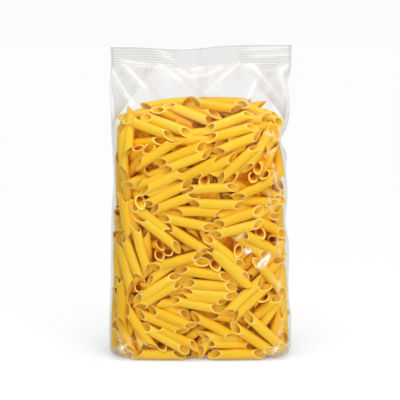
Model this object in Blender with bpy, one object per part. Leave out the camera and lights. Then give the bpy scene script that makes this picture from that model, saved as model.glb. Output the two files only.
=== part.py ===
"""A clear side-gusset packet, standing, filled with pasta tubes.

The packet is one closed solid out to its film: a block base, a bulging filled body, a neck
whose sides fold inwards, and a thin ribbed seal along the top. It stands on Z = 0 with its
width along X and its front panel facing -Y, centred on X and Y.
"""

import math

import bmesh
import bpy

# Driving dimensions, in metres.
HEIGHT = 0.270
HALF_WIDTH = 0.0801
HALF_DEPTH = 0.043
SEAL_FOOT = 0.2545
SEAL_HALF_THICKNESS = 0.00055
RIB_COUNT = 7
RIB_RELIEF = 0.0002
BASE_ROUNDING = 0.0095
BACK_SEAM_WIDTH = 0.011
BACK_SEAM_RELIEF = 0.0006

# Half widths of the left and right edges, as (height, half width).
LEFT_EDGE = (
    (0.000, HALF_WIDTH),
    (0.035, 0.0798),
    (0.063, 0.0783),
    (0.100, 0.0774),
    (0.130, 0.0766),
    (0.152, 0.0748),
    (0.180, 0.0760),
    (0.215, 0.0774),
    (0.236, 0.0792),
    (0.254, 0.0783),
    (HEIGHT, 0.0789),
)
RIGHT_EDGE = (
    (0.000, 0.0799),
    (0.035, HALF_WIDTH),
    (0.055, 0.0777),
    (0.100, 0.0772),
    (0.117, 0.0743),
    (0.143, 0.0757),
    (0.166, 0.0744),
    (0.177, 0.0752),
    (0.189, 0.0697),
    (0.200, 0.0750),
    (0.218, 0.0783),
    (0.237, 0.0766),
    (0.252, 0.0797),
    (HEIGHT, HALF_WIDTH),
)

# Half depth of the front and back panels, as (height, half depth): the panels lean
# together above the filled body.
PANEL_DEPTH = (
    (0.000, 0.0415),
    (0.040, HALF_DEPTH),
    (0.110, 0.0425),
    (0.170, HALF_DEPTH),
    (0.190, 0.0420),
    (0.206, 0.0360),
    (0.222, 0.0265),
    (0.240, 0.0125),
    (SEAL_FOOT, 0.0014),
    (HEIGHT, SEAL_HALF_THICKNESS),
)

# The side gussets: how far the middle of each side is tucked in, as (height, tuck).
GUSSET_TUCK = (
    (0.000, 0.0),
    (0.186, 0.0),
    (0.206, 0.0045),
    (0.252, 0.0250),
    (HEIGHT, 0.0250),
)

# Section corners: the higher the power, the squarer the corner.
BODY_CORNER_POWER = 4.6
NECK_CORNER_POWER = 40.0
NECK_FOOT = 0.180

# The seal's top edge droops towards the left and dips left of the middle.
DROOP = 0.0018
DROOP_START = 0.050
DIP = 0.0030
DIP_CENTRE = -0.015
DIP_WIDTH = 0.028
SAG_FOOT = 0.205
SEAL_WAVE = 0.0012
SEAL_WAVE_LENGTH = 0.125

# Low unevenness where the filling presses the panels out.
PRESS = 0.0007
PRESS_ACROSS = 0.047
PRESS_UP = 0.061

# Rings: their spacing up the packet and the steps around it.
BASE_STEPS = 4
BODY_STEP = 0.0098
NECK_STEP = 0.0052
NECK_RINGS_FROM = 0.180
PANEL_STEPS = 20
SIDE_HALF_STEPS = 4

FILM_COLOUR = (0.775, 0.413, 0.028, 1.0)
FILM_ROUGHNESS = 0.22


def clear_scene():
    for thing in list(bpy.data.objects):
        bpy.data.objects.remove(thing, do_unlink=True)


def between(stations, height):
    """The smooth curve through (height, value) stations, read at one height."""
    last = len(stations) - 1
    if height <= stations[0][0]:
        return stations[0][1]
    if height >= stations[last][0]:
        return stations[last][1]
    index = next(i for i in range(last) if height <= stations[i + 1][0])
    (low, start), (high, end) = stations[index], stations[index + 1]

    def slope(i):
        before = stations[max(i - 1, 0)]
        after = stations[min(i + 1, last)]
        return (after[1] - before[1]) / (after[0] - before[0])

    span = high - low
    t = (height - low) / span
    rise = start * (1 + 2 * t) * (1 - t) ** 2 + end * t * t * (3 - 2 * t)
    lean = slope(index) * t * (1 - t) ** 2 - slope(index + 1) * t * t * (1 - t)
    return rise + lean * span


def ease(value, start, end):
    """0 at start, 1 at end, and smooth between them."""
    t = min(max((value - start) / (end - start), 0.0), 1.0)
    return t * t * (3 - 2 * t)


def half_outline():
    """The front half of a unit square's outline, from its left side's middle to its right's.

    The steps are even but for four beside the middle, where the back seam's edges lie.
    """
    seam = BACK_SEAM_WIDTH / 2 / HALF_WIDTH
    across = {-1 + 2 * i / PANEL_STEPS for i in range(PANEL_STEPS + 1)}
    across -= {0.0}
    across |= {-seam * 1.12, -seam, seam, seam * 1.12}
    left = [(-1.0, -i / SIDE_HALF_STEPS) for i in range(SIDE_HALF_STEPS)]
    front = [(u, -1.0) for u in sorted(across)]
    right = [(-u, v) for u, v in reversed(left)]
    return left + front + right


def panel_depth(height):
    """Half the depth at this height, with the ribs pressed into the seal."""
    depth = between(PANEL_DEPTH, height)
    if height < SEAL_FOOT:
        return depth
    rib = (height - SEAL_FOOT) / (HEIGHT - SEAL_FOOT) * RIB_COUNT
    return SEAL_HALF_THICKNESS + RIB_RELIEF * math.cos(2 * math.pi * rib)


def base_inset(height):
    """How far the rounded bottom edge draws in, at most BASE_ROUNDING, on the floor."""
    left = max(BASE_ROUNDING - height, 0.0)
    return BASE_ROUNDING - math.sqrt(BASE_ROUNDING**2 - left**2)


def section_point(u, v, height):
    """The packet's surface where (u, v) lies on the unit square, at this height."""
    neck = ease(height, NECK_FOOT, SEAL_FOOT)
    power = BODY_CORNER_POWER + (NECK_CORNER_POWER - BODY_CORNER_POWER) * neck**2
    rounded = (abs(u) ** power + abs(v) ** power) ** (1 / power)
    edge = between(LEFT_EDGE if u < 0 else RIGHT_EDGE, height)
    depth = panel_depth(height)
    inset = base_inset(height)
    if height < SEAL_FOOT:
        # Where the sides tuck in, the panels' corners are the widest points.
        edge *= 1 + (2 ** (1 / power) - 1) * neck
    x = u / rounded * (edge - inset)
    y = v / rounded * (depth - inset if height < SEAL_FOOT else depth)
    if abs(u) == 1.0 and height < SEAL_FOOT:
        x -= math.copysign(between(GUSSET_TUCK, height) * (1 - abs(v)), u)
    if v == 1.0 and abs(x) <= BACK_SEAM_WIDTH / 2:
        y += BACK_SEAM_RELIEF
    filled = ease(height, 0.0, BASE_ROUNDING * 2) * (1 - neck)
    bulge = math.sin(2 * math.pi * x / PRESS_ACROSS) * math.sin(2 * math.pi * height / PRESS_UP)
    y += PRESS * filled * v * bulge
    return x, y, height


def sagged(x, y, height):
    """The neck and seal pulled down along the top edge, and waved front to back."""
    share = ease(height, SAG_FOOT, SEAL_FOOT)
    droop = DROOP * ease(-x, -DROOP_START, HALF_WIDTH)
    dip = DIP * math.exp(-(((x - DIP_CENTRE) / DIP_WIDTH) ** 2))
    wave = SEAL_WAVE * math.sin(2 * math.pi * x / SEAL_WAVE_LENGTH)
    return x, y + wave * share - BACK_SEAM_RELIEF / 2, height - (droop + dip) * share


def ring_heights():
    """The heights of the sections, closer together at the base's rounding, neck and ribs."""
    base = [
        BASE_ROUNDING * (1 - math.cos(math.pi / 2 * i / BASE_STEPS))
        for i in range(BASE_STEPS + 1)
    ]
    body_rings = round((NECK_RINGS_FROM - BASE_ROUNDING) / BODY_STEP)
    body_step = (NECK_RINGS_FROM - BASE_ROUNDING) / body_rings
    body = [BASE_ROUNDING + body_step * (i + 1) for i in range(body_rings)]
    neck_rings = round((SEAL_FOOT - NECK_RINGS_FROM) / NECK_STEP)
    neck_step = (SEAL_FOOT - NECK_RINGS_FROM) / neck_rings
    neck = [NECK_RINGS_FROM + neck_step * (i + 1) for i in range(neck_rings - 1)]
    half_rib = (HEIGHT - SEAL_FOOT) / RIB_COUNT / 2
    seal = [SEAL_FOOT + half_rib * i for i in range(2 * RIB_COUNT + 1)]
    return base + body + neck + seal


def add_ring(mesh, outline, height):
    """One section's vertices: the front half from left to right, then the back half."""
    front = [sagged(*section_point(u, v, height)) for u, v in outline]
    back = [sagged(*section_point(u, -v, height)) for u, v in outline[-2:0:-1]]
    return [mesh.verts.new(point) for point in front + back]


def cap(mesh, ring, half_count):
    """A flat end, as strips between the front half and the back half."""
    count = len(ring)
    for i in range(half_count - 1):
        corners = [ring[i], ring[i + 1], ring[-(i + 1) % count], ring[-i % count]]
        mesh.faces.new(list(dict.fromkeys(corners)))


def film_material():
    material = bpy.data.materials.new("film")
    material.use_nodes = True
    shader = material.node_tree.nodes["Principled BSDF"]
    shader.inputs["Base Color"].default_value = FILM_COLOUR
    shader.inputs["Roughness"].default_value = FILM_ROUGHNESS
    shader.inputs["Metallic"].default_value = 0.0
    return material


def make_bag(collection):
    """The filled packet, lofted from its base to its seal."""
    outline = half_outline()
    mesh = bmesh.new()
    rings = [add_ring(mesh, outline, height) for height in ring_heights()]
    for below, above in zip(rings, rings[1:]):
        for i in range(len(below)):
            after = (i + 1) % len(below)
            mesh.faces.new((below[i], below[after], above[after], above[i]))
    cap(mesh, rings[0], len(outline))
    cap(mesh, rings[-1], len(outline))
    bmesh.ops.recalc_face_normals(mesh, faces=mesh.faces)
    data = bpy.data.meshes.new("bag")
    mesh.to_mesh(data)
    mesh.free()
    data.materials.append(film_material())
    data.shade_smooth()
    data.set_sharp_from_angle(angle=math.radians(40))
    bag = bpy.data.objects.new("bag", data)
    collection.objects.link(bag)
    return bag


def main():
    clear_scene()
    collection = bpy.data.collections.new("pasta_packet")
    bpy.context.scene.collection.children.link(collection)
    make_bag(collection)


main()
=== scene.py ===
import math

import bpy
import numpy as np
from mathutils import Matrix, Vector
from mathutils.bvhtree import BVHTree
from mathutils.kdtree import KDTree


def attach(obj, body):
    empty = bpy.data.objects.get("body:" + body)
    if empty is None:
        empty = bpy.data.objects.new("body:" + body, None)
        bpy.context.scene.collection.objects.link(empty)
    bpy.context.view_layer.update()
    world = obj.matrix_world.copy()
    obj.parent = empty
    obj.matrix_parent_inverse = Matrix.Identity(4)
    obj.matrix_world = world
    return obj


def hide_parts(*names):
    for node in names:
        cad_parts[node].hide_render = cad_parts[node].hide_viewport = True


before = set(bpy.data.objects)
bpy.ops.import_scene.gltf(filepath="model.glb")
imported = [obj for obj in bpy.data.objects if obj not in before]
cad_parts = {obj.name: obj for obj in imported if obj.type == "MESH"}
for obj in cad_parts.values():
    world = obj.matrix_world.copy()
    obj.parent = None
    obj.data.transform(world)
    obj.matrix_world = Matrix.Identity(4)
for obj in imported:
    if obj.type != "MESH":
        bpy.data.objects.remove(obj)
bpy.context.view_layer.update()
mm = 0.001

# The packet's outline, in mm up its height: the same stations as the solid it stands for.
packetShape = {
    "height": 270.0,
    "sealFoot": 254.5,
    "neckFoot": 180.0,
    "leftEdge": (
        (0, 80.1), (35, 79.8), (63, 78.3), (100, 77.4), (130, 76.6), (152, 74.8),
        (180, 76.0), (215, 77.0), (236, 78.3), (254, 77.0), (270, 77.5),
    ),
    "rightEdge": (
        (0, 79.9), (35, 80.1), (55, 77.7), (100, 77.2), (117, 74.3), (143, 75.7), (166, 74.4),
        (177, 75.2), (189, 69.7), (200, 74.8), (218, 77.8), (237, 75.9), (252, 78.6), (270, 79.2),
    ),
    "panelDepth": (
        (0, 41.5), (40, 43.0), (110, 42.5), (170, 43.0), (190, 42.0), (206, 36.0),
        (222, 26.5), (240, 12.5), (254.5, 0.8), (270, 0.55),
    ),
    "gussetTuck": ((0, 0), (186, 0), (206, 6), (252, 38), (270, 38)),
    "baseRounding": 9.5,
    "bodyCorner": 4.6,
    "neckCorner": 40.0,
    "droop": 1.8, "droopFrom": 50.0, "droopTo": 80.1,
    "dip": 3.0, "dipCentre": -15.0, "dipWidth": 28.0,
    "sagFoot": 205.0,
    "wave": 1.2, "waveLength": 125.0,
}


def onlySelect(*things):
    bpy.ops.object.select_all(action="DESELECT")
    for thing in things:
        thing.select_set(True)
    bpy.context.view_layer.objects.active = things[0]


def ease(value, start, end):
    t = np.clip((value - start) / (end - start), 0.0, 1.0)
    return t * t * (3 - 2 * t)


def smoothCurve(stations, heights):
    # a smooth line through (place, value) stations
    places, values = np.array(stations, float).T
    slopes = np.gradient(values, places)
    slopes[1:-1] = (values[2:] - values[:-2]) / (places[2:] - places[:-2])
    heights = np.clip(np.asarray(heights, float), places[0], places[-1])
    i = np.clip(np.searchsorted(places, heights) - 1, 0, len(places) - 2)
    span = places[i + 1] - places[i]
    t = (heights - places[i]) / span
    rise = values[i] * (1 + 2 * t) * (1 - t) ** 2 + values[i + 1] * t * t * (3 - 2 * t)
    return rise + span * (slopes[i] * t * (1 - t) ** 2 - slopes[i + 1] * t * t * (1 - t))


def verticesOf(piece):
    points = np.empty(len(piece.data.vertices) * 3, np.float32)
    piece.data.vertices.foreach_get("co", points)
    return points.reshape(-1, 3).astype(float)


def moveVertices(piece, points):
    piece.data.vertices.foreach_set("co", points.astype(np.float32).ravel())
    piece.data.update()


def addValues(piece, name, values, domain="POINT"):
    attribute = piece.data.attributes.new(name, "FLOAT", domain)
    attribute.data.foreach_set("value", np.asarray(values, np.float32))


def inEditMode(piece):
    onlySelect(piece)
    bpy.ops.object.mode_set(mode="EDIT")


def backToObject():
    bpy.ops.object.mode_set(mode="OBJECT")


def newMaterial(name):
    material = bpy.data.materials.new(name)
    material.use_nodes = True
    return material, material.node_tree.nodes, material.node_tree.links


def setSockets(node, values):
    for name, value in values.items():
        node.inputs[name].default_value = value


def mathNode(nodes, links, operation, first, second=0.0):
    node = nodes.new("ShaderNodeMath")
    node.operation = operation
    links.new(first, node.inputs[0])
    if isinstance(second, float):
        node.inputs[1].default_value = second
    else:
        links.new(second, node.inputs[1])
    return node.outputs[0]


def colourMix(nodes, links, factor, first, second):
    node = nodes.new("ShaderNodeMix")
    node.data_type = "RGBA"
    links.new(factor, node.inputs[0])
    for place, colour in ((6, first), (7, second)):
        if isinstance(colour, tuple):
            node.inputs[place].default_value = (*colour, 1)
        else:
            links.new(colour, node.inputs[place])
    return node.outputs[2]


def attributeOf(nodes, name):
    node = nodes.new("ShaderNodeAttribute")
    node.attribute_name = name
    return node.outputs["Fac"]


# Camera, floor and light, in metres and degrees
studio = {
    "aim": (0.0, 0.0, 0.1352),
    "distance": 1.292,
    "tilt": 7.0,                        # how far the camera looks down
    "lens": 133.0,
    "sensor": 36.0,
    "floorSize": 30.0,
    "floorRoughness": 0.9,
    "floorFar": (0.35, 0.35, 0.35),     # what the floor reflects
    # near the packet the floor glows less and reflects a cooler colour, painted to cancel the warm
    # bounce from the pasta
    "floorNear": (0.685, 0.735, 0.79),
    "paintedGlowFar": (0.636, 0.636, 0.636),   # the floor glows on its own, as painted light, so its shadow stays pale
    "paintedGlowNear": (0.25, 0.25, 0.25),
    "nearReach": 0.075,                 # near ends here, and far starts there
    "farReach": 0.17,
    "backdrop": 0.969,
    "ambientLeft": 0.42,                # the room's light, dimmer on its left
    "ambientRight": 0.84,
    "sunPower": 1.18,
    "sunSpread": 55.0,
    "sunFrom": (-0.14, -0.42, 0.90),
}

softboxes = {
    # name: place, aimed at, size across and up, power
    "frontFill": ((0.72, -1.35, 0.46), (0, 0, 0.13), (0.6, 0.4), 3.0),
    "topBox": ((0.05, -0.32, 0.62), (0, 0, 0.215), (0.20, 0.14), 0.58),
    "rightStrip": ((0.75, -0.6, 0.55), (0, 0, 0.16), (0.06, 0.5), 0.35),
    "leftStrip": ((-0.75, -0.5, 0.60), (0, 0, 0.16), (0.06, 0.5), 0.12),
}


def setCamera():
    tilt = math.radians(studio["tilt"])
    back = Vector((0, -math.cos(tilt), math.sin(tilt)))
    bpy.ops.object.camera_add(location=Vector(studio["aim"]) + back * studio["distance"])
    camera = bpy.context.object
    camera.rotation_euler = back.to_track_quat("Z", "Y").to_euler()
    camera.data.lens = studio["lens"]
    camera.data.sensor_width = studio["sensor"]
    bpy.context.scene.camera = camera


def setLights():
    for name, (place, aim, size, power) in softboxes.items():
        bpy.ops.object.light_add(type="AREA", location=place)
        light = bpy.context.object
        light.name = name
        light.rotation_euler = (Vector(place) - Vector(aim)).to_track_quat("Z", "Y").to_euler()
        light.data.shape = "RECTANGLE"
        light.data.size, light.data.size_y = size
        light.data.energy = power
    bpy.ops.object.light_add(type="SUN", location=(0, 0, 2))
    sun = bpy.context.object
    sun.name = "overheadBank"
    sun.rotation_euler = Vector(studio["sunFrom"]).to_track_quat("Z", "Y").to_euler()
    sun.data.energy = studio["sunPower"]
    sun.data.angle = math.radians(studio["sunSpread"])


def setWorld():
    world = bpy.data.worlds.new("paleStudio")
    bpy.context.scene.world = world
    world.use_nodes = True
    nodes, links = world.node_tree.nodes, world.node_tree.links
    nodes.clear()
    output = nodes.new("ShaderNodeOutputWorld")
    mix = nodes.new("ShaderNodeMixShader")
    rays = nodes.new("ShaderNodeLightPath")
    links.new(rays.outputs["Is Camera Ray"], mix.inputs[0])
    # the room around is dimmer on its left; what the camera sees of it is even
    way = nodes.new("ShaderNodeTexCoord")
    across = nodes.new("ShaderNodeSeparateXYZ")
    links.new(way.outputs["Generated"], across.inputs[0])
    dimming = nodes.new("ShaderNodeMapRange")
    setSockets(dimming, {
        "From Min": -1.0,
        "To Min": studio["ambientLeft"],
        "To Max": studio["ambientRight"],
    })
    links.new(across.outputs["X"], dimming.inputs["Value"])
    room = nodes.new("ShaderNodeBackground")
    links.new(dimming.outputs[0], room.inputs["Strength"])
    links.new(room.outputs[0], mix.inputs[1])
    backdrop = nodes.new("ShaderNodeBackground")
    setSockets(room, {"Color": (1, 1, 1, 1)})
    setSockets(backdrop, {"Color": (1, 1, 1, 1), "Strength": studio["backdrop"]})
    links.new(backdrop.outputs[0], mix.inputs[2])
    links.new(mix.outputs[0], output.inputs["Surface"])


def makeFloor():
    bpy.ops.mesh.primitive_plane_add(size=studio["floorSize"], location=(0, 0, 0))
    floor = bpy.context.object
    floor.name = "floor"
    white, nodes, links = newMaterial("floorWhite")
    shader = nodes["Principled BSDF"]
    place = nodes.new("ShaderNodeTexCoord")
    reach = nodes.new("ShaderNodeVectorMath")
    reach.operation = "LENGTH"
    links.new(place.outputs["Object"], reach.inputs[0])
    blend = nodes.new("ShaderNodeMapRange")
    blend.interpolation_type = "SMOOTHSTEP"
    setSockets(blend, {"From Min": studio["nearReach"], "From Max": studio["farReach"]})
    links.new(reach.outputs["Value"], blend.inputs["Value"])
    # near the packet the reflected colour is cooled, painted to cancel the pasta's warm bounce
    colour = colourMix(nodes, links, blend.outputs[0], studio["floorNear"], studio["floorFar"])
    links.new(colour, shader.inputs["Base Color"])
    # painted light: the floor glows on its own, less near the packet, so its shadow stays pale
    glow = colourMix(nodes, links, blend.outputs[0], studio["paintedGlowNear"], studio["paintedGlowFar"])
    links.new(glow, shader.inputs["Emission Color"])
    setSockets(shader, {
        "Roughness": studio["floorRoughness"],
        "Specular IOR Level": 0.0,
        "Emission Strength": 1.0,
    })
    white.cycles.emission_sampling = "NONE"
    floor.data.materials.append(white)


bpy.context.scene.view_settings.view_transform = "Standard"
setCamera()
setLights()
setWorld()
makeFloor()
print("camera, floor and light are set")

# The pasta: how one tube is cut, in mm
pastaTube = {
    "radius": 4.5,
    "wall": 1.30,
    "length": 36.5,      # at mid height
    "slant": 6.2,        # how far a cut's tip stands out from mid height
    "pinch": 0.28,       # how much a cut's mouth is squeezed to a point
    "sides": 12,
    "bend": 0.7,
    "variants": 6,
    "mirrored": 5,       # variants whose mouths both face one way; the rest are cut parallel
    "shortest": 0.93,    # the tubes' lengths, as shares of the length above
    "longest": 1.07,
    "ovality": 0.06,
    "smoothUpTo": 38.0,  # degrees
}

# Tubes placed at the front: across, up, tilt in degrees, and 0 against the film, 1 behind
# those or 2 leaning back.
frontTubes = (
    (-28, 219, 3, 1), (-9, 213, -26, 0), (14, 219, -9, 0), (25, 205, 19, 0), (27, 196, 15, 0),
    (33, 187, 16, 0), (-6, 190, -2, 1), (-29, 202, -17, 0), (-20, 207, -30, 1),
    (-47, 196, -15, 0), (-38, 181, 40, 0), (-49, 187, 3, 1), (-68, 182, -88, 0),
    (-16, 179, 18, 1), (-11, 172, 25, 0), (26, 178, 18, 1), (34, 170, 33, 0), (51, 184, 50, 0),
    (-31, 157, 22, 0), (-2, 165, 28, 0), (-46, 162, 14, 1), (8, 153, 1, 0), (50, 153, 40, 0),
    (62, 147, -12, 1), (-44, 148, -12, 1), (-30, 145, 24, 0), (-22, 138, 23, 0),
    (14, 138, -1, 0), (-62, 199, 80, 0), (-43, 212, 5, 1), (55, 212, -20, 0), (40, 204, 20, 1),
    (33, 220, 24, 1), (22, 221, 12, 1), (60, 180, 40, 1), (64, 168, 28, 1),
    (-41, 125, -40, 0), (-36, 111, -39, 0), (-1, 129, -3, 0), (-11, 120, -6, 0),
    (33, 124, 13, 0), (31, 114, 13, 0), (-11, 106, -25, 0), (20, 95, -35, 0), (23, 84, -41, 0),
    (-50, 98, -60, 0), (-58, 90, -68, 0), (-20, 87, 17, 0), (3, 77, -5, 0), (8, 67, -5, 0),
    (9, 57, -5, 0), (-4, 50, -9, 0), (-37, 65, 36, 0), (-34, 57, 34, 0), (-52, 29, -50, 0),
    (-35, 34, -24, 0), (-31, 18, -37, 0), (-25, 39, -22, 0), (11, 30, -26, 0), (28, 37, -10, 1),
    (46, 18, -34, 0), (58, 27, -22, 0), (60, 17, -20, 1), (38, 58, 40, 0), (46, 50, 36, 0),
    (53, 44, 36, 1), (-36, 7, -2, 0), (33, 6, 4, 0), (6, 15, 84, 2), (26, 16, 4, 1),
    (-22, 21, -20, 0), (59, 104, -25, 0), (58, 116, -18, 1), (52, 128, 12, 1), (45, 137, -6, 0),
    (42, 101, -32, 1), (57, 84, 30, 1), (57, 72, 48, 1), (63, 70, -30, 1), (-67, 82, -65, 0),
    (-64, 124, -78, 0), (-56, 118, -70, 1), (-60, 150, -80, 1), (-67, 52, 78, 1),
    (-66, 24, -62, 1), (-46, 77, 40, 1), (-46, 46, -30, 1), (63, 40, 35, 1), (64, 34, -52, 1),
    (66, 24, 62, 1), (62, 130, 24, 1), (62, 96, -16, 1), (-60, 8, -30, 1), (-66, 38, -70, 1),
    (0, 100, 10, 1), (0, 41, 14, 1), (18, 45, -20, 1), (-20, 71, 10, 1),
)

# Tubes whose cut end faces out of the front: across, up.
endOnTubes = (
    (-59, 175), (-52, 162), (54, 172), (46, 163), (-56, 146), (-43, 102), (-36, 92), (-29, 93),
    (8, 87), (-59, 59), (-6, 7), (33, 104), (-63, 10), (8, 161), (62, 160), (50, 115), (63, 55),
)

# How the tubes are strewn and settle, in mm and radians
packing = {
    "seed": 11,
    "others": 400,         # loose tubes, besides the placed ones
    "shell": 20.5,         # depth of the loose tubes over the core
    "layerDepth": 8.0,     # from one placed layer to the next
    "leanBack": 0.85,
    "filmGap": 0.7,
    "baseGap": 0.7,
    "sideGap": 1.6,        # more room at the left and right edges
    "rounds": 320,
    "heapTop": 222.0,
    "heapFall": 0.0025,    # how fast the heap's top falls away to both sides
    "heapPeak": 4.0,       # where across the packet it is highest
    "placedRise": 5.5,     # how far above it the placed tubes may stand
    "coreFoot": 18.0,
    "coreTop": 196.0,
    "deepFrom": 5.0,       # depth in the heap at which the tubes start to take painted amber shade
    "deepOver": 12.0,
    "yields": (1.0, 0.35, 0.15),   # how far a loose, a placed and an end-on tube gives way
    "stride": 1.2,
    "crowding": 0.35,      # each touching tube slows a tube by this much
    "pushOut": 0.22,       # towards the film in each round, for an end-on tube the second
    "pushOutEndOn": 0.5,
    "sink": 0.05,
    "holdPlace": 0.09,     # how firmly a placed tube keeps its place and its tilt
    "holdTilt": 0.12,
    "lieFlat": 0.06,
    "roll": 0.48,          # how far a mouth is turned away from the film
    "rollUpright": 1.05,   # the same for a tube that stands upright
    "rollSpread": 0.2,
    "turnedOver": 0.2,     # share of the loose tubes whose mouths face inwards
}


def panelDepthAt(height):
    return float(smoothCurve(packetShape["panelDepth"], height))


def packetTables(inset, sideInset=0.0):
    # half widths and half depth at every mm of height, drawn in from the film
    heights = np.arange(0.0, packetShape["height"] + 1.0)
    rounding = packetShape["baseRounding"]
    drawn = rounding - np.sqrt(rounding**2 - np.maximum(rounding - heights, 0) ** 2) + inset
    tuck = smoothCurve(packetShape["gussetTuck"], heights) / 2
    left = smoothCurve(packetShape["leftEdge"], heights) - drawn - tuck - sideInset
    right = smoothCurve(packetShape["rightEdge"], heights) - drawn - tuck - sideInset
    depth = smoothCurve(packetShape["panelDepth"], heights) - drawn
    return heights, left, right, depth


def heapTopAt(across):
    return packing["heapTop"] - packing["heapFall"] * (across - packing["heapPeak"]) ** 2


def reachPast(points, tables):
    # how far points stand out of the rounded section at their height, and which way is out
    heights, left, right, depth = tables
    x, y, z = points.T
    a = np.maximum(np.where(x < 0, np.interp(z, heights, left), np.interp(z, heights, right)), 2.0)
    b = np.maximum(np.interp(z, heights, depth), 1.5)
    power = packetShape["bodyCorner"]
    ux, uy = np.abs(x) / a, np.abs(y) / b
    reach = (ux**power + uy**power) ** (1 / power) + 1e-9
    gx = np.sign(x) * (ux / reach) ** (power - 1) / a
    gy = np.sign(y) * (uy / reach) ** (power - 1) / b
    steep = np.sqrt(gx**2 + gy**2) + 1e-9
    out = np.stack([gx / steep, gy / steep, np.zeros_like(gx)], 1)
    return (reach - 1) / steep, out


def nearestOnAxes(a, b, offset):
    # where two tubes' centre lines pass nearest: the distance along each
    (axisA, halfA), (axisB, halfB) = a, b
    across = (axisA * axisB).sum(1)
    along, other = (axisA * offset).sum(1), (axisB * offset).sum(1)
    flat = np.maximum(1 - across**2, 1e-4)
    s = np.clip((across * other - along) / flat, -halfA, halfA)
    t = np.clip(across * s + other, -halfB, halfB)
    return np.clip(across * t - along, -halfA, halfA), t


def dropTubes(dice):
    # first places: kind 1 placed at the front, kind 2 placed end on, and kind 0 strewn along
    # each wall; a row is a tube's place, its axis, the way out to its wall and its kind
    radius = pastaTube["radius"]
    rows = []
    for x, z, tilt, layer in frontTubes:
        turn = math.radians(tilt)
        y = 1 + radius + packing["layerDepth"] * layer - panelDepthAt(z)
        lean = packing["leanBack"] if layer == 2 else 0.0
        flat = math.sqrt(1 - lean**2)
        way = (flat * math.cos(turn), lean, flat * math.sin(turn))
        rows.append(((x, y, z), way, (0, -1, 0), 1))
    for x, z in endOnTubes:
        lean = dice.normal(0, 0.14, 2)
        rows.append(((x, 24 - panelDepthAt(z), z), (lean[0], -1, lean[1]), (0, -1, 0), 2))
    for i in range(packing["others"]):
        share = i / packing["others"]
        z = dice.uniform(6, 214)
        tilt = dice.normal(0, 0.5)
        spin = dice.uniform(0, math.pi)
        deep = panelDepthAt(z)
        if share < 0.36:       # along the back
            spot = (dice.uniform(-68, 68), deep - dice.choice((6, 15)), z)
            way, wall = (math.cos(tilt), dice.normal(0, 0.1), math.sin(tilt)), (0, 1, 0)
        elif share < 0.60:     # behind the placed ones
            spot = (dice.uniform(-66, 66), 15 - deep, z)
            way, wall = (math.cos(1.6 * tilt), 0, math.sin(1.6 * tilt)), (0, -1, 0)
        elif share < 0.84:     # down both sides, mostly upright
            side = -1 if i % 2 else 1
            steep = dice.normal(1.1 if side < 0 else 0.95, 0.35) * dice.choice((-1, 1))
            spot = (side * (76 - dice.choice((6, 15))), dice.uniform(-28, 28), z)
            way, wall = (0, math.cos(steep), math.sin(steep)), (side, 0, 0)
        elif share < 0.92:     # on the base
            spot = (dice.uniform(-60, 60), dice.uniform(-28, 28), dice.uniform(5, 16))
            way, wall = (math.cos(spin), math.sin(spin), 0), (0, 0, -1)
        else:                  # over the top
            spot = (dice.uniform(-60, 60), dice.uniform(-18, 18), dice.uniform(200, 216))
            way, wall = (math.cos(tilt), math.sin(tilt), dice.normal(0, 0.1)), (0, 0, 1)
        rows.append((spot, way, wall, 0))
    place, axis, wall, kind = (np.array(column, float) for column in zip(*rows))
    axis /= np.linalg.norm(axis, axis=1)[:, None]
    return place, axis, wall, kind.astype(int)


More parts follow.
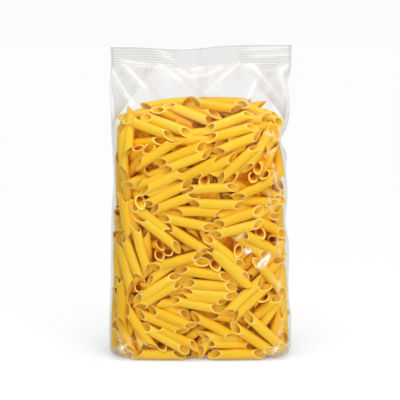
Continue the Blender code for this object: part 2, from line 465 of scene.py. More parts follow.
def settleTubes(dice):
    # the tubes push each other apart in small steps, inside the film and outside the core
    place, axis, wall, kind = dropTubes(dice)
    home, homeAxis = place.copy(), axis.copy()
    count, radius = len(place), pastaTube["radius"]
    size = dice.uniform(pastaTube["shortest"], pastaTube["longest"], count)
    reach = (pastaTube["length"] / 2 + pastaTube["slant"]) * size
    half = reach - radius * 1.1
    yields = np.choose(kind, packing["yields"])
    film = packetTables(packing["filmGap"], packing["sideGap"])
    core = packetTables(packing["shell"] - radius * 0.5)
    swing = half**2 / 3
    for turn in range(packing["rounds"]):
        loose = 1 - turn / packing["rounds"]
        if turn % 10 == 0:
            apart = np.linalg.norm(place[:, None] - place[None], axis=2)
            near = apart < half[:, None] + half[None] + 2 * radius + 4
            first, second = np.nonzero(np.triu(near, 1))
        offset = place[first] - place[second]
        s, t = nearestOnAxes((axis[first], half[first]), (axis[second], half[second]), offset)
        offset += axis[first] * s[:, None] - axis[second] * t[:, None]
        apart = np.linalg.norm(offset, axis=1) + 1e-9
        hit = apart < 2 * radius
        i, j, s, t = first[hit], second[hit], s[hit], t[hit]
        normal, over = offset[hit] / apart[hit][:, None], 2 * radius - apart[hit]
        share = over / (yields[i] * (1 + s**2 / swing[i]) + yields[j] * (1 + t**2 / swing[j]))
        moves, turns, touches = np.zeros_like(place), np.zeros_like(axis), np.ones(count)
        for k, sign, lever in ((i, 1, s), (j, -1, t)):
            np.add.at(moves, k, normal * (sign * share * yields[k])[:, None])
            np.add.at(turns, k, normal * (sign * share * yields[k] * lever / swing[k])[:, None])
            np.add.at(touches, k, packing["crowding"])
        place += moves / touches[:, None] * packing["stride"]
        axis += turns / touches[:, None] * packing["stride"]
        # the film keeps every tube in, and the core keeps the loose ones out
        for share in (-1.0, -0.5, 0.0, 0.5, 1.0):
            lever = reach * share
            spots = place + axis * lever[:, None]
            over, out = reachPast(spots, film)
            over += radius * np.sqrt(np.maximum(1 - (axis * out).sum(1) ** 2, 0))
            fix = -out * np.maximum(over, 0)[:, None]
            upReach = radius * np.sqrt(np.maximum(1 - axis[:, 2] ** 2, 0))
            top = heapTopAt(spots[:, 0]) + np.where(kind == 1, packing["placedRise"], 0.0)
            fix[:, 2] += np.maximum(upReach + 0.8 - spots[:, 2], 0)
            fix[:, 2] -= np.maximum(spots[:, 2] + upReach - top, 0)
            deep = -reachPast(spots, core)[0]
            overFoot, underTop = spots[:, 2] - packing["coreFoot"], packing["coreTop"] - spots[:, 2]
            inside = np.minimum(overFoot, underTop)
            inside = np.where(kind == 2, 0, np.maximum(np.minimum(deep, inside), 0))
            fix += wall * (inside * 0.5)[:, None]
            give = 0.6 / (1 + lever**2 / swing)
            place += fix * give[:, None]
            axis += fix * (give * lever / swing)[:, None]
        outward = np.where(kind == 2, packing["pushOutEndOn"], packing["pushOut"] * loose)
        place += wall * outward[:, None]
        place[:, 2] -= packing["sink"] * loose
        held = kind > 0
        hold = packing["holdPlace"] * np.array((1.0, 0.3, 1.0))
        drift = (home[held] - place[held]) * hold
        drift[:, 1] *= kind[held] == 1
        place[held] += drift
        axis[held] += (homeAxis[held] - axis[held]) * packing["holdTilt"]
        flatten = (axis * wall).sum(1) * np.where(kind == 2, 0, packing["lieFlat"] * loose)
        axis -= wall * flatten[:, None]
        axis /= np.linalg.norm(axis, axis=1)[:, None]
    return place, axis, wall, kind, size


def keepInside(points, film):
    # slide one tube's points back inside the film and above the base
    for _ in range(3):
        over, out = reachPast(points, film)
        worst = int(np.argmax(over))
        points = points - out[worst] * max(over[worst], 0.0)
    points[:, 2] += max(packing["baseGap"] - points[:, 2].min(), 0.0)
    return points


def makeTube(index):
    # one tube along X: an open cylinder given its wall, then slanted at both cuts
    tube = pastaTube
    halfLength, radius = tube["length"] / 2 * mm, tube["radius"] * mm
    bpy.ops.mesh.primitive_cylinder_add(
        vertices=tube["sides"], radius=radius, depth=2 * halfLength,
        end_fill_type="NOTHING", rotation=(0, math.pi / 2, 0),
    )
    piece = bpy.context.object
    piece.name = "tube%d" % index
    bpy.ops.object.transform_apply(location=False, rotation=True, scale=False)
    inEditMode(piece)
    bpy.ops.mesh.select_all(action="DESELECT")
    backToObject()
    for edge in piece.data.edges:
        a, b = (piece.data.vertices[k].co.x for k in edge.vertices)
        edge.select = abs(a - b) > halfLength
    inEditMode(piece)
    bpy.ops.mesh.subdivide(number_cuts=1)
    backToObject()
    outer = len(piece.data.polygons)
    wall = piece.modifiers.new("wall", "SOLIDIFY")
    wall.thickness = tube["wall"] * mm
    wall.offset = -1.0
    bpy.ops.object.modifier_apply(modifier="wall")
    # face values: 1 on the cut ends, 2 in the bore
    sides = np.zeros(len(piece.data.polygons))
    sides[outer:2 * outer] = 2.0
    sides[2 * outer:] = 1.0
    addValues(piece, "cut", sides, "FACE")
    points = verticesOf(piece)
    ends = np.rint(points[:, 0] / halfLength)
    tips = abs(ends) if index < tube["mirrored"] else ends
    up = points[:, 2] / radius
    # each mouth faces +Z and its tip lies at -Z; a parallel cut's far mouth faces -Z
    points[:, 0] -= ends * tips * up * tube["slant"] * mm
    points[:, 1] *= 1 - tube["pinch"] * abs(ends) * up**2
    points[:, 2] += tube["bend"] * mm * (1 - abs(ends)) * (index % 3 - 1)
    moveVertices(piece, points)
    return piece


def deepness(points):
    # 0 at the heap's outside, rising to 1 well inside it; it sets how much painted shade a tube
    # takes
    fromWall = -reachPast(points, packetTables(0.0))[0]
    inside = np.minimum(fromWall, heapTopAt(points[:, 0]) + 4 - points[:, 2])
    return np.clip((inside - packing["deepFrom"]) / packing["deepOver"], 0, 1)


def makePenne(dice):
    place, axis, wall, kind, size = settleTubes(dice)
    print("settled", len(place), "tubes")
    variants = [makeTube(index) for index in range(pastaTube["variants"])]
    film = packetTables(packing["filmGap"] / 2, packing["sideGap"] / 2)
    copies = []
    for n in range(len(place)):
        choices = variants if kind[n] == 0 else variants[:pastaTube["mirrored"]]
        source = choices[n % len(choices)]
        piece = source.copy()
        piece.data = source.data.copy()
        bpy.context.scene.collection.objects.link(piece)
        along = Vector(axis[n])
        outward = Vector(wall[n]) if kind[n] < 2 else Vector((0, 0, 1))
        outward -= along * outward.dot(along)
        if outward.length < 0.05:
            outward = along.orthogonal()
        upright = abs(axis[n, 2]) > 0.85 and kind[n] < 2
        roll = packing["rollUpright"] if upright else packing["roll"]
        roll = dice.normal(roll, packing["rollSpread"]) * dice.choice((-1, 1))
        if kind[n] == 0 and dice.random() < packing["turnedOver"]:
            roll += math.pi
        outward = Matrix.Rotation(roll, 3, along) @ outward.normalized()
        turned = Matrix((along, outward.cross(along), outward)).transposed().to_4x4()
        oval = 1 + dice.uniform(-1, 1) * pastaTube["ovality"]
        stretched = Matrix.Diagonal((size[n], oval, 2 - oval, 1))
        piece.data.transform(Matrix.Translation(Vector(place[n]) * mm) @ turned @ stretched)
        moveVertices(piece, keepInside(verticesOf(piece) / mm, film) * mm)
        addValues(piece, "tone", np.full(len(piece.data.vertices), dice.random()))
        # painted shade for the tubes deep in the heap
        addValues(piece, "deep", deepness(verticesOf(piece) / mm))
        copies.append(piece)
    onlySelect(*copies)
    bpy.ops.object.join()
    penne = bpy.context.object
    penne.name = "penne"
    for source in variants:
        bpy.data.objects.remove(source)
    onlySelect(penne)
    bpy.ops.object.shade_smooth_by_angle(angle=math.radians(pastaTube["smoothUpTo"]))
    return penne


heapCore = {
    "cuts": 15,
    "insideFoot": 2.0,     # how far it stays inside the room that the tubes leave it, in mm
    "insideTop": 4.0,
    "underTubes": 3.0,
    "corner": 4.0,
    "capRounding": 0.10,
    "lumps": 0.035,
}


def makeCore():
    # the heap's inside, kept behind the loose tubes
    bpy.ops.mesh.primitive_cube_add(size=2, location=(0, 0, 0))
    core = bpy.context.object
    core.name = "core"
    inEditMode(core)
    bpy.ops.mesh.select_all(action="SELECT")
    bpy.ops.mesh.subdivide(number_cuts=heapCore["cuts"])
    backToObject()
    points = verticesOf(core)
    foot = packing["coreFoot"] + heapCore["insideFoot"]
    top = packing["coreTop"] - heapCore["insideTop"]
    height = foot + (points[:, 2] + 1) / 2 * (top - foot)
    heights, left, right, depth = packetTables(packing["shell"] - heapCore["underTubes"])
    flat = points[:, :2]
    power = heapCore["corner"]
    capped = 1 - heapCore["capRounding"] * np.abs(points[:, 2]) ** 6
    square = np.abs(flat).max(1)
    rounded = (np.abs(flat) ** power).sum(1) ** (1 / power) + 1e-9
    flat = flat * (square / rounded * capped)[:, None]
    across, back = flat.T
    lump = heapCore["lumps"] * np.sin(height / 4.1 + 5 * across) * np.cos(6 * back + height / 7.3)
    lump += 1
    onLeft, onRight = np.interp(height, heights, left), np.interp(height, heights, right)
    wide = np.where(across < 0, onLeft, onRight)
    deep = np.interp(height, heights, depth)
    points = np.stack([across * wide * lump, back * deep * lump, height], 1)
    moveVertices(core, points * mm)
    onlySelect(core)
    bpy.ops.object.shade_smooth()
    return core


dice = np.random.default_rng(packing["seed"])
core = makeCore()
penne = makePenne(dice)
print("penne:", len(penne.data.polygons), "faces")

# The film, in mm. Where a place on it is painted white, as a highlight, and where grey, as painted
# shade or as the seal's greyer film, is each marked from 0 to 1.
filmSheet = {
    "halfPanelSteps": 60,
    "sideSteps": 36,
    "bodyStep": 2.1,
    "neckStep": 1.0,
    "neckFrom": 180.0,
    "ribs": 7,
    "rowsPerRib": 8,
    "ribRelief": 0.06,
    "sealHalf": 0.32,      # half the seal's thickness
    # painted highlight on the rib crests, painted shade in the valleys
    "ribPaintedHighlight": 0.05,
    "ribPaintedShade": 0.62,
    "ribsFaint": 0.35,     # how strong the ribs are at the middle of the seal
    "sealHaze": 0.12,
    # painted shade along the seal's top edge
    "topEdgePaintedShade": 0.4,
    "cornerPaintedShade": 0.5,     # painted shade along the gussets' folds in the neck
    "leftPaintedShade": 0.60,      # painted shade at the filled body's left and right edges
    "rightPaintedShade": 0.16,
    "lift": 0.3,           # clear of the floor
    "hugDepth": 1.4,       # how far it draws in between the tubes, and how near it comes to them
    "hugClear": 0.35,
    "hugAtSides": 0.4,
    "creaseAngle": 50.0,   # degrees
    "smallFolds": 180,
    # how white the neck folds' painted crest highlights are
    "neckWhite": 0.74,
    "neckGlow": 0.55,      # the share of a fold's painted highlight that spreads beside its crest
    "bodyGlow": 0.10,
    "backWhite": 0.5,      # the folds' painted highlights on the back are fainter
    "seed": 5,
}

# How a fold is drawn beside its line: its painted white crest highlight, the painted glow round it
# and the painted grey shade on one side.
foldLine = {
    "crest": 1.1,
    "glow": 3.5,
    "grey": 1.1,
    "greyOff": 2.2,
    "greyWidth": 1.3,
}

# Folds pressed into the front of the neck: start and end as (across, up), how far it
# stands out (+) or in (-), its half width, and how white its painted crest highlight is.
neckFolds = (
    ((-67, 254), (-46, 234), 1.3, 3.4, 0.75),
    ((-77, 250), (-65, 232), 1.2, 2.4, 0.65),
    ((-65, 232), (-56, 221), 1.0, 2.4, 0.70),
    ((-44, 248), (-57, 228), -0.7, 4.5, 0.06),
    ((-70, 257), (-42, 253), 0.5, 1.4, 0.70),
    ((-42, 253), (-24, 252), 0.4, 1.6, 0.45),
    ((-37, 255), (-16, 240), 1.0, 4.5, 0.50),
    ((-16, 240), (-4, 229), 0.7, 4.0, 0.16),
    ((-36, 247), (-24, 239), 0.6, 2.8, 0.30),
    ((34, 254), (14, 238), 1.1, 4.5, 0.62),
    ((14, 238), (2, 228), 0.8, 4.5, 0.34),
    ((30, 245), (8, 229), -0.8, 4.2, 0.12),
    ((-21, 250), (-9, 243), 0.7, 2.2, 0.55),
    ((-9, 243), (7, 245), 0.8, 2.2, 0.60),
    ((7, 245), (20, 251), 0.7, 2.0, 0.55),
    ((-8, 249), (4, 250), 0.4, 1.8, 0.50),
    ((-28, 244), (-8, 238), -0.7, 2.6, 0.20),
    ((43, 254), (54, 243), 1.1, 2.6, 0.60),
    ((54, 243), (63, 232), 0.9, 3.2, 0.42),
    ((63, 232), (72, 221), 0.7, 3.2, 0.35),
    ((78, 256), (66, 242), 0.9, 2.4, 0.45),
    ((49, 242), (39, 222), 0.8, 3.5, 0.60),
    ((69, 243), (74, 225), 0.6, 3.0, 0.45),
    ((59, 247), (77, 252), 0.4, 2.6, 0.25),
    ((68, 250), (74, 234), 0.4, 3.5, 0.30),
    ((36, 253), (52, 250), 0.5, 1.6, 0.50),
    ((-55, 250), (-40, 238), -0.8, 3.0, 0.10),
    ((-76, 228), (-75, 206), 0.6, 2.2, 0.40),
    ((-30, 252), (-33, 228), 0.5, 6.0, 0.00),
    ((18, 243), (24, 226), 0.5, 6.0, 0.00),
    ((-40, 266), (-24, 262), 0.0, 1.5, 0.45),
    ((-34, 262), (-20, 256), 0.0, 1.5, 0.50),
    ((36, 266), (76, 268), 0.0, 1.5, 0.60),
    ((42, 260), (78, 262), 0.0, 1.5, 0.56),
    ((3, 267), (5, 258), 0.0, 1.5, 0.30),
)

# The same for the filled body's front, with painted highlights on the crests
bodyFolds = (
    ((69, 191), (54, 198), 0.9, 2.2, 0.45),
    ((70, 187), (57, 179), 0.8, 2.0, 0.40),
    ((-71, 24), (-43, 14), 0.6, 4.0, 0.26),
    ((-72, 13), (-62, 4), 0.9, 2.0, 0.22),
    ((-66, 14), (-70, 3), 0.8, 1.6, 0.22),
    ((-73, 6), (-60, 8), 0.7, 1.6, 0.20),
    ((72, 11), (60, 4), 0.9, 2.0, 0.22),
    ((64, 12), (70, 3), 0.8, 1.6, 0.22),
    # painted glare: nearly flat folds that show only as white painted highlights
    ((37, 98), (43, 95), 0.15, 2.0, 0.80),
    ((39, 96), (44, 97), 0.15, 2.0, 0.70),
    ((48, 83), (60, 94), 0.15, 2.6, 0.85),
    ((50, 83), (57, 85), 0.15, 2.0, 0.80),
    ((56, 86), (60, 92), 0.15, 2.4, 0.70),
    ((44, 78), (70, 100), 0.8, 4.0, 0.00),
    ((70, 100), (76, 112), 0.7, 3.0, 0.20),
    ((44, 78), (34, 76), 0.6, 3.0, 0.10),
    ((30, 106), (38, 112), 0.5, 1.4, 0.45),
    ((62, 171), (66, 150), 0.7, 1.8, 0.38),
    ((70, 165), (68, 139), 0.8, 1.8, 0.50),
    ((66, 152), (73, 141), 0.6, 1.6, 0.40),
    ((58, 148), (62, 128), 0.6, 1.8, 0.30),
    ((70, 131), (73, 110), 0.7, 1.8, 0.50),
    ((64, 124), (71, 113), 0.6, 1.6, 0.36),
    ((66, 106), (70, 88), 0.7, 1.8, 0.42),
    ((71, 80), (67, 60), 0.8, 2.0, 0.46),
    ((62, 72), (70, 64), 0.6, 1.6, 0.30),
    ((70, 58), (74, 40), 0.8, 1.8, 0.50),
    ((74, 38), (67, 20), 0.7, 2.0, 0.40),
    ((73, 20), (62, 6), 0.8, 2.0, 0.38),
    ((68, 12), (50, 6), 0.6, 2.0, 0.30),
    ((-75, 32), (-67, 12), 0.7, 2.2, 0.36),
    ((-70, 14), (-56, 6), 0.7, 2.0, 0.34),
    ((-60, 17), (-71, 9), 0.6, 2.0, 0.34),
    ((-73, 150), (-70, 128), 0.7, 1.8, 0.20),
    ((-74, 112), (-71, 90), 0.7, 1.8, 0.20),
    ((-73, 62), (-75, 40), 0.7, 1.8, 0.25),
)

backSeam = {
    "columns": 3,        # columns of the film to each side of its middle
    "shift": 2,          # columns to the right of the middle
    "from": 4.0,
    "lift": 0.35,
}


def filmColumns():
    # round the packet from the middle of the back, to the left, the front and the right
    half, side = filmSheet["halfPanelSteps"], filmSheet["sideSteps"]
    ramp = np.linspace(0, 1, half, endpoint=False)
    across = np.linspace(-1, 1, 2 * half, endpoint=False)
    down = np.linspace(1, -1, side, endpoint=False)
    u = np.concatenate([-ramp, -np.ones(side), across, np.ones(side), 1 - ramp, [0.0]])
    v = np.concatenate([np.ones(half), down, -np.ones(2 * half), -down, np.ones(half), [1.0]])
    return u, v


def filmRows():
    rounding, neck = packetShape["baseRounding"], filmSheet["neckFrom"]
    foot, top = packetShape["sealFoot"], packetShape["height"]
    turn = np.linspace(0, math.pi / 2, 8, endpoint=False)
    body = np.arange(rounding, neck - filmSheet["bodyStep"] / 2, filmSheet["bodyStep"])
    upper = np.arange(neck, foot - filmSheet["neckStep"] / 2, filmSheet["neckStep"])
    seal = np.linspace(foot, top, filmSheet["ribs"] * filmSheet["rowsPerRib"] + 1)
    return np.concatenate([rounding * (1 - np.cos(turn)), body, upper, seal])


def packetSurface(u, v, height):
    # the film before it is pressed, where u runs across the packet and v from front to back
    shape = packetShape
    foot, top = shape["sealFoot"], shape["height"]
    neck = ease(height, shape["neckFoot"], foot)
    power = shape["bodyCorner"] + (shape["neckCorner"] - shape["bodyCorner"]) * neck**2
    rounded = (np.abs(u) ** power + np.abs(v) ** power) ** (1 / power)
    onLeft, onRight = (smoothCurve(shape[side], height) for side in ("leftEdge", "rightEdge"))
    edge = np.where(u < 0, onLeft, onRight)
    below = height < foot
    edge = edge * np.where(below, 1 + (2 ** (1 / power) - 1) * neck, 1.0)
    rib = (height - foot) / (top - foot) * filmSheet["ribs"]
    ribbed = filmSheet["sealHalf"] + filmSheet["ribRelief"] * np.cos(2 * math.pi * rib)
    depth = np.where(below, smoothCurve(shape["panelDepth"], height), ribbed)
    rounding = shape["baseRounding"]
    drawn = rounding - np.sqrt(rounding**2 - np.maximum(rounding - height, 0) ** 2)
    x = u / rounded * (edge - drawn)
    y = v / rounded * np.where(below, depth - drawn, depth)
    tuck = smoothCurve(shape["gussetTuck"], height) * (1 - np.abs(v))
    x = np.where((np.abs(u) == 1) & below, x - np.sign(u) * tuck, x)
    sag = ease(height, shape["sagFoot"], foot)
    drop = shape["droop"] * ease(-x, -shape["droopFrom"], shape["droopTo"])
    drop = drop + shape["dip"] * np.exp(-(((x - shape["dipCentre"]) / shape["dipWidth"]) ** 2))
    y = y + sag * shape["wave"] * np.sin(2 * math.pi * x / shape["waveLength"])
    return np.stack([x, y, height - sag * drop], -1)


def outwardOf(grid):
    # the film's outward direction at every point of its grid
    around = np.roll(grid[:, :-1], -1, 1) - np.roll(grid[:, :-1], 1, 1)
    around = np.concatenate([around, around[:, :1]], 1)
    rise = np.gradient(grid, axis=0)
    out = np.cross(around, rise)
    return out / (np.linalg.norm(out, axis=2, keepdims=True) + 1e-9)


def softened(values, times):
    for _ in range(times):
        left, right = np.roll(values[:, :-1], 1, 1), np.roll(values[:, :-1], -1, 1)
        ring = (left + right) / 4 + values[:, :-1] / 2
        ring = np.concatenate([ring, ring[:, :1]], 1)
        padded = np.concatenate([ring[:1], ring, ring[-1:]], 0)
        values = (padded[:-2] + padded[2:]) / 4 + padded[1:-1] / 2
    return values


def shrunk(values, times):
    # each point takes the least value beside it, so a smoothed dent never passes a tube
    for _ in range(times):
        ring = values[:, :-1]
        ring = np.minimum(np.minimum(np.roll(ring, 1, 1), np.roll(ring, -1, 1)), ring)
        ring = np.concatenate([ring, ring[:, :1]], 1)
        padded = np.concatenate([ring[:1], ring, ring[-1:]], 0)
        values = np.minimum(np.minimum(padded[:-2], padded[2:]), padded[1:-1])
    return values


def gapToTubes(grid, out):
    # how far in the first tube lies behind every point of the film's grid
    tree = BVHTree.FromObject(penne, bpy.context.evaluated_depsgraph_get())
    gaps = np.full(grid.shape[:2], 12.0)
    for row in range(grid.shape[0]):
        for column in range(grid.shape[1] - 1):
            start = Vector(grid[row, column]) * mm
            hit = tree.ray_cast(start, -Vector(out[row, column]), 0.012)
            if hit[0] is not None:
                gaps[row, column] = hit[3] / mm
    # the thin tips that fall between two rays
    near = KDTree(gaps.size)
    for number, spot in enumerate(grid.reshape(-1, 3)):
        near.insert(spot, number)
    near.balance()
    tips = verticesOf(penne) / mm
    tips = tips[reachPast(tips, packetTables(0.0))[0] > -filmSheet["hugDepth"] - 1]
    for tip in tips:
        number = near.find(tip)[1]
        row, column = divmod(number, grid.shape[1])
        gap = float((grid[row, column] - tip) @ out[row, column])
        gaps[row, column] = min(gaps[row, column], max(gap, 0.0))
    gaps[:, -1] = gaps[:, 0] = np.minimum(gaps[:, 0], gaps[:, -1])
    return gaps


def pressFold(grid, share, moved, paintedHighlight, hazeAndPaintedShade, fold, glow):
    # one tent-shaped fold with a painted highlight on its crest and painted shade on one side, on
    # the points that share marks
    start, end, height, width, white = fold
    start, way = np.array(start, float), np.array(end, float) - np.array(start, float)
    spots = grid[..., [0, 2]] - start
    t = np.clip((spots @ way) / (way @ way), 0, 1)
    apart = spots - t[..., None] * way
    off = np.linalg.norm(apart, axis=-1)
    side = np.sign(apart[..., 0] * way[1] - apart[..., 1] * way[0]) * np.sign(way[1] + 0.01)
    fade = share * np.sqrt(np.clip(1.15 - np.abs(2 * t - 1) ** 3, 0, 1))
    moved += height * fade * np.clip(1 - off / width, 0, 1)
    crest = np.exp(-((off / foldLine["crest"]) ** 2))
    around = np.exp(-((off / foldLine["glow"]) ** 2))
    paintedHighlight += white * fade * ((1 - glow) * crest + glow * around)
    beside = np.exp(-(((side * off - foldLine["greyOff"]) / foldLine["greyWidth"]) ** 2))
    hazeAndPaintedShade += foldLine["grey"] * glow * white * fade * beside


def pressFolds(grid, v, moved, paintedHighlight, hazeAndPaintedShade):
    # the listed folds on the front, the same mirrored on the back, and small ones on both
    front = np.clip((-v - 0.8) / 0.2, 0, 1)[None, :]
    back = np.clip((v - 0.8) / 0.2, 0, 1)[None, :]
    strokes = [(fold, filmSheet["neckWhite"], filmSheet["neckGlow"]) for fold in neckFolds]
    strokes += [(fold, 1.0, filmSheet["bodyGlow"]) for fold in bodyFolds]
    for (start, end, height, width, white), share, glow in strokes:
        white *= share
        pressFold(grid, front, moved, paintedHighlight, hazeAndPaintedShade, (start, end, height, width, white), glow)
        start, end = (-start[0], start[1]), (4 - end[0], end[1] - 3)
        white *= filmSheet["backWhite"]
        pressFold(grid, back, moved, paintedHighlight, hazeAndPaintedShade, (start, end, height, width, white), glow)
    dice = np.random.default_rng(filmSheet["seed"])
    for turn in dice.uniform(0, math.pi, filmSheet["smallFolds"]):
        high = dice.random() < 0.45
        z = dice.uniform(216, 250) if high else dice.uniform(8, 205)
        x = dice.uniform(-70, 70) if high else dice.choice((-1, 1)) * (76 - abs(dice.normal(0, 12)))
        reach = dice.uniform(4, 14)
        end = (x + reach * math.cos(turn), min(z + reach * math.sin(turn), 254))
        fold = ((x, z), end, dice.normal(0, 0.40), dice.uniform(1.0, 2.8), dice.uniform(0, 0.06))
        panel = front if dice.random() < 0.5 else back
        pressFold(grid, panel, moved, paintedHighlight, hazeAndPaintedShade, fold, filmSheet["bodyGlow"])


def shadeSeal(grid, heights, paintedHighlight, hazeAndPaintedShade):
    # the ribs show painted highlights on their crests and painted shade in their valleys, faint at
    # the middle
    foot, top = packetShape["sealFoot"], packetShape["height"]
    x = grid[..., 0]
    inSeal = (heights >= foot)[:, None]
    rib = (heights - foot) / (top - foot)
    crest = 0.5 + 0.5 * np.cos(2 * math.pi * filmSheet["ribs"] * rib)[:, None]
    faint = filmSheet["ribsFaint"]
    strong = faint + (1 - faint) * np.maximum(ease(-x, 14, 26), ease(x, 30, 38))
    paintedHighlight += inSeal * crest**2 * strong * filmSheet["ribPaintedHighlight"]
    hazeAndPaintedShade += inSeal * (filmSheet["sealHaze"] + (1 - crest) * strong * filmSheet["ribPaintedShade"])
    # painted shade along the seal's top edge
    hazeAndPaintedShade += filmSheet["topEdgePaintedShade"] * (rib > 0.96)[:, None]


def addSheet(name, rows, columns):
    # a flat grid, with the row and the column that each of its points lies on
    bpy.ops.object.select_all(action="DESELECT")
    bpy.ops.mesh.primitive_grid_add(x_subdivisions=columns - 1, y_subdivisions=rows - 1, size=1)
    sheet = bpy.context.object
    sheet.name = name
    places = verticesOf(sheet)
    column = np.rint((places[:, 0] + 0.5) * (columns - 1)).astype(int)
    row = np.rint((places[:, 1] + 0.5) * (rows - 1)).astype(int)
    return sheet, row, column


def makeFilm():
    u, v = filmColumns()
    heights = filmRows()
    film, row, column = addSheet("film", len(heights), len(u))
    grid = packetSurface(u[None, :], v[None, :], heights[:, None] + np.zeros((1, len(u))))
    grid[..., 2] = np.maximum(grid[..., 2], filmSheet["lift"])
    out = outwardOf(grid)
    below = ease(-heights, -250.0, -225.0)[:, None]
    gaps = gapToTubes(grid, out)
    room = np.clip(gaps - filmSheet["hugClear"], 0, filmSheet["hugDepth"])
    onSide = (np.abs(u) == 1) & (np.abs(v) < 1)
    dents = softened(shrunk(room, 2), 4) * below * np.where(onSide, filmSheet["hugAtSides"], 1.0)
    # the film's moves, its painted highlights, and its haze and painted shade
    moved, paintedHighlight, hazeAndPaintedShade = (np.zeros(grid.shape[:2]) for _ in range(3))
    pressFolds(grid, v, moved, paintedHighlight, hazeAndPaintedShade)
    free = (heights < packetShape["sealFoot"])[:, None]
    deepest = -np.maximum(gaps - 0.15, 0) * below - 2.5 * (1 - below)
    moved = np.maximum(moved * free - dents, deepest)
    grid = grid + out * moved[..., None]
    shadeSeal(grid, heights, paintedHighlight, hazeAndPaintedShade)
    x = grid[..., 0]
    # painted shade along the gussets' folds in the neck and at the filled body's sides
    corner = (np.abs(u) > 0.975) & (np.abs(v) > 0.95)
    hazeAndPaintedShade += filmSheet["cornerPaintedShade"] * corner[None, :] * ease(heights, 215, 250)[:, None]
    packed = ease(-grid[..., 2], -215, -195)     # 1 over the pasta, 0 in the empty neck
    edges = filmSheet["leftPaintedShade"] * ease(-x, 56, 72) + filmSheet["rightPaintedShade"] * ease(x, 64, 78)
    hazeAndPaintedShade += packed * edges
    # the two panels meet along the top edge
    turn = 2 * math.pi * x[-1] / packetShape["waveLength"]
    grid[-1, :, 1] = packetShape["wave"] * np.sin(turn)
    moveVertices(film, grid[row, column] * mm)
    # painted highlights and shade, and where the highlights are warmed over the pasta
    addValues(film, "paintedHighlight", np.clip(paintedHighlight, 0, 1)[row, column])
    addValues(film, "hazeAndPaintedShade", np.clip(hazeAndPaintedShade, 0, 1)[row, column])
    addValues(film, "warm", packed[row, column])
    inEditMode(film)
    bpy.ops.mesh.select_all(action="SELECT")
    bpy.ops.mesh.remove_doubles(threshold=0.000004)
    bpy.ops.mesh.select_mode(type="EDGE")
    bpy.ops.mesh.select_all(action="DESELECT")
    bpy.ops.mesh.select_non_manifold(
        extend=False, use_wire=False, use_multi_face=False,
        use_non_contiguous=False, use_verts=False,
    )
    # the open base is drawn in by rings and closed
    for shrink in (0.92, 0.8, 0.6):
        bpy.ops.mesh.extrude_region()
        bpy.ops.transform.resize(value=(shrink, shrink, 1), center_override=(0, 0, 0.0003))
    bpy.ops.mesh.edge_face_add()
    bpy.ops.mesh.select_all(action="SELECT")
    bpy.ops.mesh.normals_make_consistent(inside=False)
    backToObject()
    bpy.ops.object.shade_smooth_by_angle(angle=math.radians(filmSheet["creaseAngle"]))
    return film, grid, out


def makeBackSeam(grid, out):
    # the lengthwise weld up the back: a clear strip lying on the film
    reach = backSeam["columns"]
    rows = np.flatnonzero(filmRows() > backSeam["from"])
    columns = np.arange(-reach, reach + 1) - backSeam["shift"]
    ring = grid.shape[1] - 1
    strip = grid[rows][:, columns % ring] + out[rows][:, columns % ring] * backSeam["lift"]
    seam, row, column = addSheet("backSeam", len(rows), len(columns))
    moveVertices(seam, strip[row, column] * mm)
    for name in ("paintedHighlight", "hazeAndPaintedShade", "warm"):
        addValues(seam, name, np.zeros(len(row)))
    onlySelect(seam)
    bpy.ops.object.shade_smooth()
    return seam


film, filmGrid, filmOut = makeFilm()
seam = makeBackSeam(filmGrid, filmOut)
print("film:", len(film.data.polygons), "faces")

pastaLook = {
    "golden": (0.89, 0.500, 0.012),
    "pale": (0.93, 0.60, 0.038),
    "rim": (0.98, 0.70, 0.14),
    # the amber of painted shade, in the bores and deep in the heap
    "paintedShade": (0.98, 0.49, 0.003),
    "paintedBoreShade": 0.24,     # how far the bores take painted amber shade
    "paintedDeepShade": 0.80,     # and how far the tubes deep in the heap take it
    "finish": {
        "Roughness": 0.36,
        "IOR": 1.45,
        "Specular IOR Level": 0.40,
        "Specular Tint": (1.0, 0.90, 0.50, 1),
        "Subsurface Weight": 0.10,
        "Subsurface Radius": (1.0, 0.6, 0.2),
        "Subsurface Scale": 0.001,
    },
    # the heap's core is painted the amber of pasta deep in shade
    "core": {
        "Base Color": (0.97, 0.45, 0.003, 1),
        "Roughness": 0.8,
        "Specular IOR Level": 0.0,
    },
}


def pastaMaterial():
    material, nodes, links = newMaterial("durumPasta")
    shader = nodes["Principled BSDF"]
    look = pastaLook
    body = colourMix(nodes, links, attributeOf(nodes, "tone"), look["golden"], look["pale"])
    cut = attributeOf(nodes, "cut")
    # painted shade: the bores and the tubes deep in the heap turn amber
    bore = mathNode(nodes, links, "GREATER_THAN", cut, 1.5)
    bore = mathNode(nodes, links, "MULTIPLY", bore, look["paintedBoreShade"])
    deep = mathNode(nodes, links, "MULTIPLY", attributeOf(nodes, "deep"), look["paintedDeepShade"])
    paintedShade = mathNode(nodes, links, "MAXIMUM", bore, deep)
    offRim = mathNode(nodes, links, "SUBTRACT", cut, 1.0)
    offRim = mathNode(nodes, links, "ABSOLUTE", offRim)
    rim = mathNode(nodes, links, "LESS_THAN", offRim, 0.5)
    skin = colourMix(nodes, links, rim, body, look["rim"])
    colour = colourMix(nodes, links, paintedShade, skin, look["paintedShade"])
    links.new(colour, shader.inputs["Base Color"])
    setSockets(shader, look["finish"])
    return material


def coreMaterial():
    material, nodes, _ = newMaterial("paintedDeepShade")
    # painted shade: the core takes the amber of pasta deep in shade
    setSockets(nodes["Principled BSDF"], pastaLook["core"])
    return material


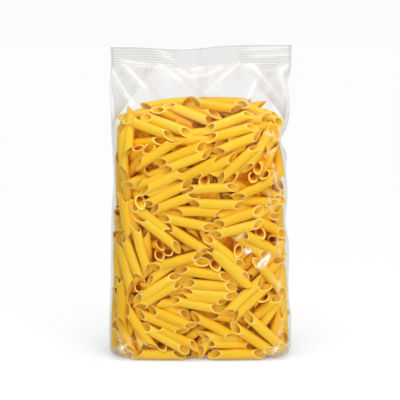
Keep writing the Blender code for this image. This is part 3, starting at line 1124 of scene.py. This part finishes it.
filmLook = {
    "passes": (0.957, 0.956, 0.954),     # the share of light that passes, seen square on
    "passesSlantwise": (0.79, 0.788, 0.783),
    "passPower": 1.7,
    # what passes where the film is hazed or painted in shade
    "hazeAndShadeGrey": (0.80, 0.793, 0.782),
    "glint": 0.005,
    "glintSlantwise": 0.40,
    "glintPower": 4.0,
    "roughness": 0.09,
    "highlightThin": (0.84, 0.825, 0.80),     # a painted highlight's colour where it is thin and thick
    "highlightThick": (0.97, 0.955, 0.92),
    "warmHighlightThin": (0.98, 0.80, 0.34),     # the same over the pasta, warmed as if lit by it
    "warmHighlightThick": (1.0, 0.96, 0.84),
    "thickening": 1.6,
}


def filmMaterial():
    material, nodes, links = newMaterial("clearFilm")
    look = filmLook
    nodes.remove(nodes["Principled BSDF"])
    slant = nodes.new("ShaderNodeLayerWeight")
    setSockets(slant, {"Blend": 0.5})
    slant = slant.outputs["Facing"]
    clear = nodes.new("ShaderNodeBsdfTransparent")
    gloss = nodes.new("ShaderNodeBsdfGlossy")
    setSockets(gloss, {"Roughness": look["roughness"], "Color": (1, 1, 1, 1)})
    # the film passes less, and shines more, where it is seen at a slant
    steep = mathNode(nodes, links, "POWER", slant, look["passPower"])
    passes = colourMix(nodes, links, steep, look["passes"], look["passesSlantwise"])
    # painted shade and haze: the marked places pass less light
    passes = colourMix(nodes, links, attributeOf(nodes, "hazeAndPaintedShade"), passes, look["hazeAndShadeGrey"])
    links.new(passes, clear.inputs["Color"])
    shine = mathNode(nodes, links, "POWER", slant, look["glintPower"])
    shine = mathNode(nodes, links, "MULTIPLY", shine, look["glintSlantwise"])
    shine = mathNode(nodes, links, "ADD", shine, look["glint"])
    film = nodes.new("ShaderNodeMixShader")
    links.new(shine, film.inputs[0])
    links.new(clear.outputs[0], film.inputs[1])
    links.new(gloss.outputs[0], film.inputs[2])
    # painted highlights: a white layer over the marked places, warmer over the pasta
    paintedHighlight = attributeOf(nodes, "paintedHighlight")
    white = nodes.new("ShaderNodeBsdfDiffuse")
    thick = mathNode(nodes, links, "MULTIPLY", paintedHighlight, look["thickening"])
    neutral = colourMix(nodes, links, thick, look["highlightThin"], look["highlightThick"])
    warmHighlight = colourMix(nodes, links, thick, look["warmHighlightThin"], look["warmHighlightThick"])
    tint = colourMix(nodes, links, attributeOf(nodes, "warm"), neutral, warmHighlight)
    links.new(tint, white.inputs["Color"])
    finish = nodes.new("ShaderNodeMixShader")
    links.new(paintedHighlight, finish.inputs[0])
    links.new(film.outputs[0], finish.inputs[1])
    links.new(white.outputs[0], finish.inputs[2])
    links.new(finish.outputs[0], nodes["Material Output"].inputs["Surface"])
    return material


core.data.materials.append(coreMaterial())
penne.data.materials.clear()
penne.data.materials.append(pastaMaterial())
clearFilm = filmMaterial()
for piece in (film, seam):
    piece.data.materials.clear()
    piece.data.materials.append(clearFilm)
bpy.context.scene.cycles.transparent_max_bounces = 16
bpy.context.scene.cycles.diffuse_bounces = 8
slots = ((penne, "pasta"), (core, "pasta"), (film, "clear_film"), (seam, "clear_film"))
for piece, slotName in slots:
    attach(piece, "root")
    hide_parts("bag")
